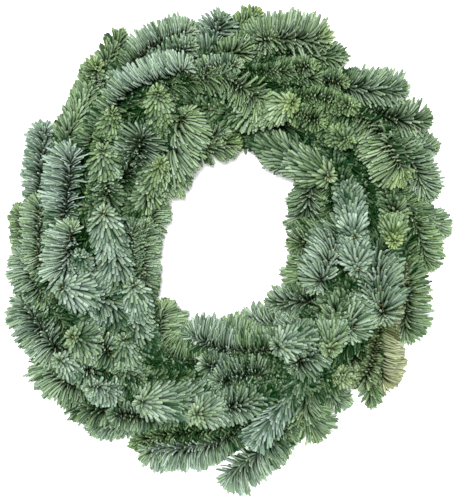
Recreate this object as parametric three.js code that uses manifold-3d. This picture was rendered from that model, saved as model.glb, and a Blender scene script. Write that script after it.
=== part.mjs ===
// A fresh evergreen wreath: fir sprigs bound with wire, row by row, onto a straw ring.
// Millimetres, +Z up. The wreath lies on the flat back of its ring, with its face up and its top
// towards +Y. Every sprig points clockwise as seen from above. The tables hold places measured
// from the ring's own centre; the origin ends up under the middle of the whole wreath.
import * as THREE from 'three';
import { mergeVertices } from 'three/addons/utils/BufferGeometryUtils.js';
import Module from 'manifold-3d';

const wasm = await Module();
wasm.setup();

// ---- driving dimensions, mm ----
const RING_RADIUS = 132; // to the middle of the straw
const RING_HALF_WIDTH = 22.5;
const RING_SHOULDER = 8; // height at which the straw is widest
const RING_CROWN = 30; // from the shoulder to the top of the straw
const RING_BACK_HALF = 18; // half the width of the flat back
const RING_SIDES = 48; // facets round the ring

const WIRE_RADIUS = 0.6;
const WIRE_TURNS = 24;
const WIRE_LIFT = 6.5; // of the wire's centre above the straw, over the stems
const WIRE_BACK = 1.0; // height of the wire's centre in its groove in the flat back

const STEM_RADIUS = 2;
const GAP = 0.3; // air left between neighbouring pieces
const LANES = { outer: [0, 30], crown: [60, 94], inner: [124, 154] }; // degrees over the straw
const SEAT = STEM_RADIUS + 0.45; // height of a seated stem's centre above the straw
const SOLID_SHARE = 0.72; // of a shoot's needle spread that counts as its solid body
const FLATNESS = 0.8; // needles are brushed upwards, so a shoot is wider than it is high
const SHOOT_SIDES = 5;
const NEEDLES_PAST_BUD = 6; // how far the needle mass runs on past the end bud
const NEEDLES_BEFORE_HEEL = 12; // how far back from its heel a shoot is already needled

// ---- where each sprig lies ----
// The first number is the turn of the wire that holds the sprig's foot, counted anticlockwise
// from +X. A shoot is its end bud, its heel (where its needles come clear of the mass) and the
// width across its needles. The first shoot of a sprig is its leader, the others fork from it.
const shoot = (bud, heel, spread) => ({
	bud: new THREE.Vector3(...bud),
	heel: new THREE.Vector3(...heel),
	spread,
});

const SPRIGS = {
	outer: [
		[17, shoot([-189, -60, 18], [-163, -100, 30], 34)],
		[16, shoot([-185, -12, 26], [-170, -50, 34], 34)],
		[15, shoot([-168, 38, 40], [-168, -18, 42], 28), shoot([-189, 31, 12], [-184, -8, 8], 18)],
		[14, shoot([-165, 104, 24], [-174, 36, 26], 27)],
		[13, shoot([-114, 158, 44], [-144, 90, 42], 40)],
		[12, shoot([-96, 186, 20], [-118, 146, 26], 28)],
		[11, shoot([-27, 193, 32], [-70, 172, 34], 32), shoot([-76, 178, 16], [-98, 158, 24], 22)],
		[10, shoot([-3, 200, 32], [-22, 172, 36], 27), shoot([31, 209, 16], [0, 187, 22], 22)],
		[9, shoot([43, 186, 42], [8, 170, 44], 30)],
		[8, shoot([88, 184, 34], [44, 178, 34], 34), shoot([108, 169, 24], [82, 164, 30], 24)],
		[7, shoot([160, 136, 38], [112, 140, 42], 40)],
		[6, shoot([177, 113, 30], [148, 108, 36], 36), shoot([192, 86, 18], [160, 88, 26], 28)],
		[5, shoot([192, 42, 26], [172, 76, 32], 30)],
		[4, shoot([201, 10, 14], [170, 32, 22], 32)],
		[3, shoot([193, -22, 18], [180, 12, 26], 30)],
		[2, shoot([167, -92, 30], [166, -46, 34], 40)],
		[1, shoot([147, -133, 24], [146, -92, 34], 32), shoot([101, -122, 50], [128, -122, 44], 32),
			shoot([131, -149, 12], [134, -118, 20], 22)],
		[23, shoot([82, -175, 24], [76, -140, 34], 44), shoot([112, -148, 16], [96, -138, 26], 28)],
		[22, shoot([0, -217, 22], [36, -186, 30], 42), shoot([38, -203, 14], [64, -166, 24], 30)],
		[21, shoot([-73, -194, 24], [-12, -188, 32], 34), shoot([-85, -184, 14], [-58, -176, 22], 26)],
		[19, shoot([-123, -170, 18], [-92, -168, 28], 26), shoot([-139, -148, 28], [-114, -154, 36], 28)],
		[18, shoot([-166, -112, 24], [-144, -126, 32], 34)],
	],
	crown: [
		[17, shoot([-144, -42, 80], [-104, -58, 60], 46)],
		[16, shoot([-107, 24, 88], [-98, -30, 60], 48)],
		[15, shoot([-136, 14, 68], [-144, -30, 56], 32), shoot([-130, -12, 68], [-126, -32, 60], 24)],
		[14, shoot([-137, 82, 70], [-144, 26, 56], 44)],
		[13, shoot([-108, 80, 78], [-106, 34, 58], 38), shoot([-68, 94, 66], [-84, 62, 56], 34)],
		[12, shoot([-32, 155, 66], [-100, 128, 56], 34)],
		[11, shoot([-35, 116, 78], [-56, 74, 56], 38), shoot([-60, 132, 88], [-56, 104, 62], 38)],
		[10, shoot([34, 122, 80], [-8, 144, 58], 40), shoot([14, 157, 68], [-20, 152, 56], 24)],
		[9, shoot([64, 122, 88], [18, 112, 62], 38)],
		[8, shoot([81, 156, 70], [48, 152, 56], 34), shoot([108, 140, 68], [78, 146, 54], 32)],
		[7, shoot([116, 117, 82], [80, 130, 60], 36), shoot([88, 102, 74], [60, 114, 60], 34),
			shoot([112, 86, 86], [92, 98, 64], 34)],
		[6, shoot([160, 54, 72], [128, 94, 56], 38)],
		[5, shoot([115, 2, 84], [110, 44, 60], 38)],
		[4, shoot([151, -2, 70], [152, 28, 54], 28)],
		[3, shoot([82, -40, 74], [98, 2, 56], 38), shoot([120, -26, 86], [118, -2, 60], 28)],
		[2, shoot([133, -68, 68], [137, -16, 54], 40)],
		[1, shoot([93, -102, 82], [104, -56, 60], 40), shoot([112, -92, 66], [126, -52, 54], 36)],
		[0, shoot([64, -118, 74], [96, -84, 56], 38), shoot([46, -94, 90], [72, -88, 60], 48)],
		[23, shoot([24, -184, 66], [54, -146, 54], 38)],
		[22, shoot([-26, -155, 74], [22, -145, 58], 38), shoot([-8, -129, 64], [28, -119, 56], 34)],
		[21, shoot([-74, -144, 84], [-18, -144, 60], 56)],
		[19, shoot([-90, -88, 76], [-86, -120, 58], 40), shoot([-118, -130, 78], [-112, -148, 56], 40)],
		[18, shoot([-135, -86, 80], [-102, -100, 60], 46), shoot([-152, -104, 52], [-128, -114, 50], 30)],
	],
	inner: [
		[18, shoot([-80, -40, 74], [-76, -80, 54], 34)],
		[17, shoot([-70, 14, 42], [-66, -26, 44], 28)],
		[13, shoot([-56, 68, 76], [-70, 38, 54], 40), shoot([-64, 60, 42], [-70, 28, 42], 22)],
		[10, shoot([10, 82, 44], [-26, 76, 44], 28)],
		[7, shoot([95, 58, 66], [38, 70, 52], 42)],
		[5, shoot([60, 9, 32], [82, 44, 38], 34)],
		[4, shoot([73, -2, 50], [102, 16, 42], 32)],
		[3, shoot([64, -42, 30], [82, -10, 36], 28)],
		[0, shoot([20, -65, 34], [66, -70, 40], 30), shoot([40, -54, 40], [72, -54, 44], 30)],
		[23, shoot([1, -73, 46], [34, -88, 44], 32)],
		[22, shoot([-28, -88, 66], [8, -100, 54], 40), shoot([-20, -111, 58], [10, -117, 52], 30)],
		[20, shoot([-40, -59, 38], [-28, -94, 40], 30)],
	],
};

const DEGREE = Math.PI / 180;
const TURN_ANGLE = 360 / WIRE_TURNS;
const BOUND = [-6, 2, 10, 18]; // degrees past its first turn of wire, where a stem lies on the straw
const LIFT = [22, 26]; // degrees past it, half risen and risen enough to pass over the third turn
const LIFT_HEIGHT = 11; // of a stem's centre above the straw there

// ---- materials ----
const straw = new THREE.MeshStandardMaterial({ color: 0xb99a5e, roughness: 0.9, metalness: 0 });
const greenWire = new THREE.MeshStandardMaterial({ color: 0x2f4a34, roughness: 0.45, metalness: 0.3 });
const needleGreen = (lightness) => new THREE.MeshStandardMaterial({
	color: new THREE.Color().setHSL(0.33, 0.14, lightness),
	roughness: 0.6,
	metalness: 0,
});

// ---- solids ----
function solidOf(geometry) {
	const bare = geometry.clone();
	bare.deleteAttribute('normal');
	bare.deleteAttribute('uv');
	const merged = mergeVertices(bare, 1e-4);
	const index = merged.index.array;
	const triVerts = [];
	for (let i = 0; i < index.length; i += 3) {
		const [a, b, c] = index.slice(i, i + 3);
		if (a !== b && b !== c && c !== a) triVerts.push(a, b, c);
	}
	return new wasm.Manifold(new wasm.Mesh({
		numProp: 3,
		vertProperties: new Float32Array(merged.attributes.position.array),
		triVerts: new Uint32Array(triVerts),
	}));
}

function geometryOf(solid) {
	const mesh = solid.getMesh();
	const geometry = new THREE.BufferGeometry();
	geometry.setAttribute('position', new THREE.Float32BufferAttribute(mesh.vertProperties, 3));
	geometry.setIndex(Array.from(mesh.triVerts));
	geometry.computeVertexNormals();
	return geometry;
}

function boxesMeet(a, b) {
	const one = a.boundingBox();
	const two = b.boundingBox();
	return [0, 1, 2].every((axis) => one.min[axis] <= two.max[axis] && two.min[axis] <= one.max[axis]);
}

function cutBy(solid, cutters) {
	return cutters.filter((cutter) => boxesMeet(solid, cutter))
		.reduce((left, cutter) => left.subtract(cutter), solid);
}

// The biggest body of a cut solid: slivers that a cut leaves behind are dropped.
function mainBody(solid) {
	return solid.decompose().reduce((best, body) => (body.volume() > best.volume() ? body : best));
}

// ---- straw ring ----
function polar(radius, round, z) {
	return new THREE.Vector3(radius * Math.cos(round * DEGREE), radius * Math.sin(round * DEGREE), z);
}

// A point beside the straw: angle round the ring, angle over its section, height above it.
function overStraw(round, over, height) {
	const across = Math.cos(over * DEGREE);
	const up = Math.sin(over * DEGREE);
	const normal = new THREE.Vector2(across / RING_HALF_WIDTH, up / RING_CROWN).normalize();
	const radius = RING_RADIUS + RING_HALF_WIDTH * across + normal.x * height;
	return polar(radius, round, RING_SHOULDER + RING_CROWN * up + normal.y * height);
}

function strawSolid(grow) {
	const outline = [[RING_BACK_HALF, -grow], [RING_HALF_WIDTH + grow, RING_SHOULDER / 2]];
	for (const over of [...LANES.outer, ...LANES.crown, ...LANES.inner, 180]) {
		outline.push([
			(RING_HALF_WIDTH + grow) * Math.cos(over * DEGREE),
			RING_SHOULDER + (RING_CROWN + grow) * Math.sin(over * DEGREE),
		]);
	}
	outline.push([-RING_HALF_WIDTH - grow, RING_SHOULDER / 2], [-RING_BACK_HALF, -grow]);
	outline.push(outline[0]);
	const points = outline.map(([across, z]) => new THREE.Vector2(RING_RADIUS + across, z));
	return solidOf(new THREE.LatheGeometry(points, RING_SIDES).rotateX(Math.PI / 2));
}

// ---- binding wire ----
// Each turn runs straight over the top of the straw, and steps on to the next across the back.
const WIRE_OVER = [0, 30, 60, 90, 120, 150, 180]; // degrees over the straw
const WIRE_KNEE = [RING_HALF_WIDTH + 3, 3]; // from the ring's middle, and up
const WIRE_BACK_END = RING_BACK_HALF + 2;

// The two ends of a turn's straight stretch across the back.
function backEnds(turn) {
	return [
		polar(RING_RADIUS - WIRE_BACK_END, turn * TURN_ANGLE, WIRE_BACK),
		polar(RING_RADIUS + WIRE_BACK_END, (turn + 1) * TURN_ANGLE, WIRE_BACK),
	];
}

function wirePoints() {
	const points = [];
	for (let turn = 0; turn < WIRE_TURNS; turn++) {
		const here = turn * TURN_ANGLE;
		points.push(...WIRE_OVER.map((over) => overStraw(here, over, WIRE_LIFT)));
		points.push(polar(RING_RADIUS - WIRE_KNEE[0], here, WIRE_KNEE[1]));
		points.push(...backEnds(turn));
		points.push(polar(RING_RADIUS + WIRE_KNEE[0], here + TURN_ANGLE, WIRE_KNEE[1]));
	}
	points.pop(); // the last end is tucked into its groove
	return points;
}

// A bent line that is followed from corner to corner.
class BentLine extends THREE.Curve {
	constructor(points) {
		super();
		this.points = points;
	}

	getPoint(t, target = new THREE.Vector3()) {
		const place = t * (this.points.length - 1);
		const before = Math.min(Math.floor(place), this.points.length - 2);
		return target.copy(this.points[before]).lerp(this.points[before + 1], place - before);
	}

	getUtoTmapping(u) {
		return u;
	}
}

function wireSolid(grow) {
	const reach = WIRE_RADIUS + grow;
	const section = new THREE.Shape([[reach, 0], [0, reach], [-reach, 0], [0, -reach]]
		.map(([x, y]) => new THREE.Vector2(x, y)));
	const points = wirePoints();
	return solidOf(new THREE.ExtrudeGeometry(section, {
		steps: points.length - 1,
		bevelEnabled: false,
		extrudePath: new BentLine(points),
	}));
}

// The groove that one turn presses into the flat back.
function grooveSolid(turn) {
	const [inner, outer] = backEnds(turn);
	const along = outer.clone().sub(inner);
	const width = 2 * (WIRE_RADIUS + GAP) + 0.4;
	const bar = new THREE.BoxGeometry(along.length() + 4, width, width);
	bar.rotateZ(Math.atan2(along.y, along.x));
	bar.translate(...inner.lerp(outer, 0.5).toArray());
	return solidOf(bar);
}

// ---- sprigs ----
function endOfNeedles({ bud, heel }) {
	return bud.clone().addScaledVector(bud.clone().sub(heel).normalize(), NEEDLES_PAST_BUD);
}

// The line of a leader: under two turns of wire along its lane, up between two turns, then on
// to its heel, its bud and the end of its needles.
function leaderLine(row, turn, leader) {
	const lane = LANES[row][turn % 2];
	return new THREE.CatmullRomCurve3([
		...BOUND.map((past) => overStraw(turn * TURN_ANGLE - past, lane, SEAT)),
		overStraw(turn * TURN_ANGLE - LIFT[0], lane, (SEAT + LIFT_HEIGHT) / 2),
		overStraw(turn * TURN_ANGLE - LIFT[1], lane, LIFT_HEIGHT),
		leader.heel,
		endOfNeedles(leader),
	], false, 'centripetal');
}

// The line of a side shoot: out of the leader where that has risen off the straw.
function forkLine(line, side) {
	const fork = line.getPoint(5.4 / 7);
	return new THREE.CatmullRomCurve3([
		fork,
		fork.clone().lerp(side.heel, 0.5),
		side.heel,
		endOfNeedles(side),
	], false, 'centripetal');
}

// How full the needles are along the needled part of a shoot, from 0 at its start to 1 at its end.
const FULLNESS = [[0.18, 0.55], [0.45, 1], [0.8, 0.88], [1, 0.34]];

// A shoot, turned round the Y axis and then laid along its line: bare stem, then needles.
function shootSolid(line, { bud, heel, spread }, stem, needles) {
	const stretches = line.points.length - 1;
	const lengths = line.getLengths(stretches * 40);
	const length = lengths[lengths.length - 1];
	const bare = line.points.slice(0, -2).map((point, i) => lengths[i * 40]);
	const needled = bud.distanceTo(heel) + NEEDLES_PAST_BUD + NEEDLES_BEFORE_HEEL;
	const start = Math.max(length - needled, bare[bare.length - 1] + 2);
	const profile = [[0, 0], ...bare.map((at) => [stem, at]), [stem, start]];
	for (const [part, full] of FULLNESS) {
		profile.push([needles(full * spread * SOLID_SHARE / 2), start + (length - start) * part]);
	}
	profile.push([0, length]);
	const turned = profile.map(([radius, at]) => new THREE.Vector2(radius, at));
	const geometry = new THREE.LatheGeometry(turned, SHOOT_SIDES);
	const place = geometry.attributes.position;
	for (let i = 0; i < place.count; i++) {
		const reach = Math.hypot(place.getX(i), place.getZ(i));
		const u = Math.min(place.getY(i) / length, 1);
		const ahead = line.getTangentAt(u);
		const side = ahead.clone().cross(new THREE.Vector3(0, 0, 1)).normalize();
		const lift = side.clone().cross(ahead);
		const point = line.getPointAt(u)
			.addScaledVector(side, place.getX(i))
			.addScaledVector(lift, place.getZ(i) * (reach > stem + 0.01 ? FLATNESS : 1));
		place.setXYZ(i, point.x, point.y, point.z);
	}
	return solidOf(geometry);
}

function sprigSolids(row, turn, shoots) {
	const leader = leaderLine(row, turn, shoots[0]);
	const lines = shoots.map((one, i) => (i ? forkLine(leader, one) : leader));
	const room = GAP / Math.cos(Math.PI / SHOOT_SIDES) / FLATNESS; // keeps the gap off flat facets
	const join = (stem, needles) => lines
		.map((line, i) => shootSolid(line, shoots[i], stem, needles))
		.reduce((all, one) => all.add(one));
	return {
		stems: join(STEM_RADIUS, () => STEM_RADIUS),
		whole: join(STEM_RADIUS, (radius) => radius),
		stemRoom: join(STEM_RADIUS + room, () => STEM_RADIUS + room),
		wholeRoom: join(STEM_RADIUS + room, (radius) => radius + room),
	};
}

// ---- the wreath ----
const wreath = new THREE.Group();
const centre = new THREE.Group();
wreath.add(centre);

function addPiece(name, solid, material) {
	const mesh = new THREE.Mesh(geometryOf(solid), material);
	mesh.name = name;
	centre.add(mesh);
}

const grooves = Array.from({ length: WIRE_TURNS }, (_, turn) => grooveSolid(turn));
addPiece('straw_ring', cutBy(strawSolid(0), grooves), straw);
addPiece('binding_wire', wireSolid(0), greenWire);

const sprigs = [];
for (const row of ['crown', 'outer', 'inner']) {
	SPRIGS[row].forEach(([turn, ...shoots], i) => {
		const name = `${row}_sprig_${String(i + 1).padStart(2, '0')}`;
		sprigs.push({ name, ...sprigSolids(row, turn, shoots) });
	});
}

// Where sprigs crowd each other, stems stay whole and the sprig that comes later gives way.
const bound = [wireSolid(GAP), strawSolid(GAP)];
sprigs.forEach((sprig, i) => {
	const stems = sprigs.filter((other) => other !== sprig).map((other) => other.stemRoom);
	const before = sprigs.slice(0, i).map((other) => other.wholeRoom);
	const cut = cutBy(sprig.whole, [...bound, ...stems, ...before]);
	addPiece(sprig.name, mainBody(sprig.stems.add(cut)), needleGreen(0.36 + 0.1 * ((i * 0.37) % 1)));
});

// The origin is under the middle of the whole wreath, on the face it lies on.
const box = new THREE.Box3().setFromObject(centre);
centre.position.set(-(box.min.x + box.max.x) / 2, -(box.min.y + box.max.y) / 2, -box.min.z);

export default wreath;
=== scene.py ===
"""A fresh evergreen wreath: fir sprigs bound clockwise with green wire onto a straw ring.

Places are in millimetres from the centre of the straw ring, with +Z out of the wreath's face, until
in_row_frame() turns them into metres in the row's frame. Angles are in degrees.
"""

import math
from collections import namedtuple

import bpy
import numpy as np
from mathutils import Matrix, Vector


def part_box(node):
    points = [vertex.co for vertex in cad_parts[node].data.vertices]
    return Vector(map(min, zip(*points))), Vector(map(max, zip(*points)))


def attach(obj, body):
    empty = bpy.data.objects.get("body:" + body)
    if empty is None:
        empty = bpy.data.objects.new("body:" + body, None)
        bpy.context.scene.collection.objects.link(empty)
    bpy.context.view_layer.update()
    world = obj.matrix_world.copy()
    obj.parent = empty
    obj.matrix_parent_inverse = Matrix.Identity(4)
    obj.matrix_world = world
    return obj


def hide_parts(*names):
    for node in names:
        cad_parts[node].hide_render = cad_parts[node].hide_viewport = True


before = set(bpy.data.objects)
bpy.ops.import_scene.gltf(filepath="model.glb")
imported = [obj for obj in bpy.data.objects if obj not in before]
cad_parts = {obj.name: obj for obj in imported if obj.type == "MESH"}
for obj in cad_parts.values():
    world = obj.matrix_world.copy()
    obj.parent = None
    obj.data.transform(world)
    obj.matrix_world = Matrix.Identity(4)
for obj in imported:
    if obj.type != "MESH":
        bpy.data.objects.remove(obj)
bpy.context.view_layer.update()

# ---- the ring, the wire and where a stem is bound; the same sizes as the CAD part ----
RING_RADIUS = 132
RING_HALF_WIDTH = 22.5
RING_SHOULDER = 8  # height at which the section's sides turn into its dome
RING_CROWN = 30  # height of the dome
RING_BACK_HALF = 18
WIRE_RADIUS = 0.6
WIRE_TURNS = 24
WIRE_LIFT = 6.5
WIRE_BACK = 1.0
STEM_RADIUS = 2
LANES = {"outer": (0, 30), "crown": (60, 94), "inner": (124, 154)}  # angles over the section
SEAT = STEM_RADIUS + 0.45
BOUND = (-6, 2, 10, 18)  # angles past the wire at which a stem lies on the straw
LIFT = (22, 26)  # and at which it lifts off
LIFT_HEIGHT = 11
TURN_ANGLE = 360 / WIRE_TURNS

# ---- every sprig: the wire turn that holds its foot, then its shoots ----
# A shoot is its end bud, its heel, the width across its needles, roll (how far its needles are
# brushed from straight up towards the wreath's outer side), bloom (how blue and waxy, 0 to 1),
# spring (how much yellow-green new growth its tip has, 0 to 1), lean (how far its needles stand
# off the twig) and, where it has a knee, rise (how steeply its last part climbs).
OUTER_SPRIGS = [
    (17, ((-186, -55, 22), (-154, -98, 38), 44, 40, 0.65, 0.1, 98)),
    (16, ((-185, -12, 26), (-172, -42, 34), 36, 55, 0.6, 0.1, 90)),
    (15, ((-168, 38, 40), (-168, -18, 42), 30, 40, 0.55, 0.6, 85),
     ((-189, 31, 12), (-184, -8, 8), 18, 40, 0.25, 0.3, 75)),
    (14, ((-165, 104, 26), (-169, 36, 28), 32, 30, 0.85, 0.1, 80)),
    (13, ((-115, 157, 56), (-143, 92, 48), 44, 30, 0.3, 0.5, 58, 42)),
    (12, ((-94, 188, 20), (-116, 147, 26), 28, 20, 0.2, 0.35, 64)),
    (11, ((-31, 190, 34), (-73, 170, 36), 40, 38, 0.8, 0.4, 88),
     ((-76, 178, 16), (-98, 158, 24), 22, 20, 0.2, 0.0, 70),
     ((-28, 176, 50), (-62, 158, 46), 30, 0, 0.5, 0.1, 78)),
    (10, ((-3, 201, 36), (-18, 164, 38), 42, 15, 0.75, 0.1, 72, 10),
     ((31, 209, 16), (0, 187, 22), 24, 30, 0.2, 0.9, 75)),
    (9, ((43, 186, 42), (8, 170, 44), 32, 20, 0.35, 0.4, 78, 30)),
    (8, ((89, 184, 34), (34, 183, 36), 47, 38, 0.6, 0.9, 80),
     ((107, 167, 24), (80, 169, 30), 30, 15, 0.3, 0.2, 62)),
    (7, ((160, 136, 38), (112, 140, 42), 40, 25, 0.5, 0.2, 68)),
    (6, ((182, 110, 30), (150, 111, 36), 38, 15, 0.45, 0.4, 76),
     ((192, 86, 18), (160, 88, 26), 28, 30, 0.5, 0.3, 70)),
    (5, ((187, 42, 26), (166, 77, 34), 36, 30, 0.45, 0.2, 74)),
    (4, ((201, 10, 14), (170, 32, 22), 34, 20, 0.4, 0.3, 60)),
    (3, ((187, -24, 20), (178, 10, 26), 32, 50, 0.2, 0.1, 80)),
    (2, ((165, -86, 30), (167, -42, 34), 43, 38, 0.25, 0.1, 92)),
    (1, ((146, -131, 26), (143, -90, 36), 38, 92, 0.3, 0.6, 84),
     ((101, -124, 50), (128, -123, 44), 25, 10, 0.1, 0.1, 84, 42),
     ((135, -150, 12), (136, -118, 20), 26, 20, 0.15, 0.1, 70)),
    (23, ((82, -175, 24), (76, -140, 34), 46, 30, 0.35, 0.4, 74),
     ((112, -148, 16), (96, -138, 26), 28, 10, 0.4, 0.2, 75)),
    (22, ((2, -218, 22), (38, -190, 30), 42, 40, 0.7, 0.2, 82),
     ((38, -203, 14), (64, -166, 24), 30, 40, 0.3, 0.1, 75)),
    (21, ((-73, -193, 24), (-12, -187, 32), 38, 48, 0.75, 0.3, 84),
     ((-84, -187, 14), (-57, -179, 22), 24, 0, 0.0, 0.0, 78)),
    (19, ((-123, -170, 18), (-92, -168, 28), 28, 30, 0.55, 0.2, 72),
     ((-139, -148, 28), (-114, -154, 36), 34, 10, 0.3, 0.0, 78),
     ((-102, -157, 46), (-72, -160, 40), 28, 10, 0.4, 0.1, 80)),
    (18, ((-166, -110, 24), (-141, -132, 34), 43, 50, 0.4, 0.2, 90)),
]
CROWN_SPRIGS = [
    (17, ((-144, -42, 80), (-102, -58, 60), 54, 0, 0.85, 0.1, 124, 42)),
    (16, ((-107, 24, 88), (-98, -30, 60), 50, 0, 0.9, 0.35, 124, 42)),
    (15, ((-136, 12, 68), (-144, -30, 56), 42, 48, 1.0, 0.5, 88),
     ((-130, -12, 68), (-126, -32, 60), 24, 0, 0.8, 0.1, 100, 42)),
    (14, ((-138, 79, 66), (-144, 26, 56), 46, 42, 1.0, 0.1, 76)),
    (13, ((-108, 80, 78), (-106, 34, 58), 44, -20, 0.4, 0.25, 106, 42),
     ((-70, 97, 66), (-86, 62, 56), 52, -10, 0.6, 0.1, 80),
     ((-100, 114, 72), (-108, 84, 58), 34, 0, 0.1, 0.2, 104, 42)),
    (12, ((-32, 155, 66), (-90, 132, 56), 38, 65, 0.85, 0.15, 96)),
    (11, ((-34, 112, 78), (-52, 70, 56), 50, -65, 0.4, 0.3, 98),
     ((-60, 132, 88), (-56, 104, 62), 38, 0, 0.2, 0.25, 112, 42)),
    (10, ((34, 122, 80), (-8, 144, 60), 46, -35, 0.25, 0.3, 56),
     ((14, 157, 68), (-20, 152, 56), 24, 20, 0.6, 0.4, 78)),
    (9, ((60, 121, 88), (18, 112, 62), 46, -35, 0.45, 0.8, 112, 42)),
    (8, ((81, 156, 70), (50, 152, 56), 23, 0, 0.2, 0.3, 64, 30),
     ((108, 140, 68), (78, 146, 54), 23, 0, 0.2, 0.2, 64, 30)),
    (7, ((116, 117, 82), (84, 128, 60), 24, 0, 0.0, 0.1, 70, 42),
     ((88, 104, 74), (60, 115, 60), 23, -10, 0.0, 0.2, 66, 30),
     ((112, 86, 84), (92, 98, 64), 27, 0, 0.05, 0.1, 80, 42)),
    (6, ((159, 59, 72), (133, 100, 58), 50, -58, 0.35, 0.75, 80, 10)),
    (5, ((115, 2, 84), (112, 36, 60), 42, 0, 0.8, 0.1, 118, 42)),
    (4, ((151, -2, 70), (152, 28, 54), 38, 0, 0.3, 0.8, 120, 42)),
    (3, ((82, -42, 74), (98, 2, 56), 42, -48, 0.7, 0.1, 92),
     ((118, -27, 86), (115, -2, 60), 44, 0, 0.8, 0.1, 112, 42)),
    (2, ((142, -70, 70), (139, -20, 54), 44, 20, 0.65, 0.2, 112, 20)),
    (1, ((93, -98, 82), (101, -64, 60), 44, 0, 0.4, 0.35, 116, 42),
     ((112, -84, 66), (126, -46, 54), 42, 40, 0.55, 0.1, 115, 30)),
    (0, ((62, -114, 74), (94, -82, 56), 42, 0, 0.6, 0.1, 84, 20),
     ((46, -94, 90), (72, -88, 60), 46, 0, 0.65, 0.1, 112, 42)),
    (23, ((28, -179, 66), (56, -142, 60), 60, 0, 0.95, 0.0, 41, 4)),
    (22, ((-26, -155, 88), (18, -146, 70), 46, 0, 0.8, 0.5, 112, 42),
     ((-8, -129, 64), (28, -119, 56), 36, -10, 0.45, 0.0, 80)),
    (21, ((-74, -144, 84), (-18, -144, 60), 58, 0, 0.65, 0.2, 130, 42)),
    (19, ((-90, -88, 76), (-86, -120, 58), 40, 0, 0.5, 0.1, 118, 42),
     ((-119, -130, 78), (-104, -136, 56), 40, 40, 0.75, 0.1, 82, 42)),
    (18, ((-135, -86, 80), (-102, -100, 60), 50, 0, 0.55, 0.4, 96, 42),
     ((-149, -108, 60), (-124, -118, 52), 42, 20, 0.75, 0.2, 104, 42)),
]
INNER_SPRIGS = [
    (18, ((-81, -40, 74), (-77, -80, 54), 44, -20, 0.8, 0.2, 122, 42)),
    (17, ((-72, 16, 42), (-72, -34, 44), 30, -40, 0.45, 0.3, 92),
     ((-84, 16, 46), (-84, -22, 46), 30, 20, 0.4, 0.1, 78)),
    (13, ((-56, 68, 76), (-70, 38, 54), 42, -20, 0.4, 0.7, 110, 42),
     ((-36, 58, 42), (-67, 44, 42), 35, -45, 0.25, 0.3, 80),
     ((-59, 37, 40), (-70, 8, 40), 30, -40, 0.4, 0.1, 80)),
    (10, ((9, 89, 44), (-26, 83, 44), 36, -10, 0.3, 0.7, 60),
     ((2, 98, 50), (-32, 92, 44), 30, 30, 0.3, 0.1, 75)),
    (7, ((93, 57, 68), (52, 78, 46), 60, 0, 0.5, 0.45, 138, 42)),
    (5, ((70, 7, 34), (76, 54, 40), 38, -20, 0.35, 0.1, 72)),
    (4, ((64, -6, 46), (98, 14, 42), 42, -15, 0.15, 0.1, 74)),
    (3, ((65, -42, 30), (82, -12, 36), 42, -50, 0.15, 0.1, 78)),
    (0, ((20, -70, 34), (66, -75, 40), 32, -50, 0.6, 0.2, 72),
     ((43, -58, 40), (76, -55, 44), 36, -10, 0.6, 0.3, 72)),
    (23, ((1, -77, 46), (34, -91, 44), 34, -60, 0.4, 0.3, 75)),
    (22, ((-31, -84, 60), (6, -97, 54), 46, -55, 0.7, 0.1, 78),
     ((-20, -111, 58), (10, -117, 52), 32, 0, 0.7, 0.2, 76)),
    (20, ((-55, -60, 46), (-50, -100, 48), 43, -65, 0.3, 0.4, 84)),
]
SPRIGS = {"outer": OUTER_SPRIGS, "crown": CROWN_SPRIGS, "inner": INNER_SPRIGS}

# How dry and beige a shoot is, 0 to 1, by its row, its sprig and its place in the sprig.
DRY = {("outer", 17, 0): 0.36, ("outer", 17, 1): 0.12}

Shoot = namedtuple("Shoot", "bud heel width roll bloom spring lean rise", defaults=(0,))

# ---- how needles are set on a shoot ----
# Combed, or tiled over one another. length is a share of the shoot's width, closing how much of
# their lean those at the tip lose, brush how far they curve on, and broad how broad they are.
Setting = namedtuple("Setting", "per_mm length longest closing brush broad")
COMBED = Setting(per_mm=3.0, length=0.54, longest=27, closing=0.6, brush=0.4, broad=1.0)
TILED = Setting(per_mm=3.2, length=0.38, longest=24, closing=0.3, brush=0.22, broad=1.2)
TILED_RISES = (42, 4)  # rises of tiled shoots; most turn their tip to the viewer
SHORTEST = 12
GOLDEN_ANGLE = 137.508  # from each needle to the next, round the twig
CROWDING = 1.3  # above 1, needles crowd to the side they are brushed to
SWEEP = 118  # angle from the top that needles of the underside are brought round to
TIP_SWEEP = 125  # the same beside the bud
ROLLED = (15, 70)  # the sweep narrows as roll goes from the first to the second
ROLLED_SWEEP_LOST = 0.45
TIP_STRETCH = 13  # the last of a shoot, where its needles close round the bud
TIP_SHORTER = 0.5  # share of their length that needles lose there
TIP_STRAIGHTER = 0.7  # share of their curve that they lose there
LENGTHENED = (-22, 4)  # distances from the heel between which needles reach full length
FOOT_LENGTH = 0.68  # their length before that, as a share of it
GROWN_OUT_OF_SHADE = (-26, 10)  # the same for their full colour; before it they are darker, both as older needles and with painted shade where other shoots cover them
FOOT_BLOOM = 0.35
FRESH_ALONG, FRESH_TIP = 0.25, 0.6  # new growth along the shoot, and added at its tip
TONE_FOOT, TONE_GROWN_OUT_OF_SHADE, TONE_OPENED = 0.15, 0.32, 0.17  # each adds to those before it; the second is partly painted shade at a shoot's foot, the third painted light on opened shoots
OPENED = (8, 50)  # light gets between needles as roll goes from the first to the second; it is painted light, a lighter tone and a shorter painted shade at their feet
OPENED_LIGHT = 0.55
DRIFT_WAVES = (37, 17, 9)
TURN_DRIFT, LEAN_DRIFT, LENGTH_DRIFT, TONE_DRIFT = 0.14, 7, 0.06, 0.16

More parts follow.
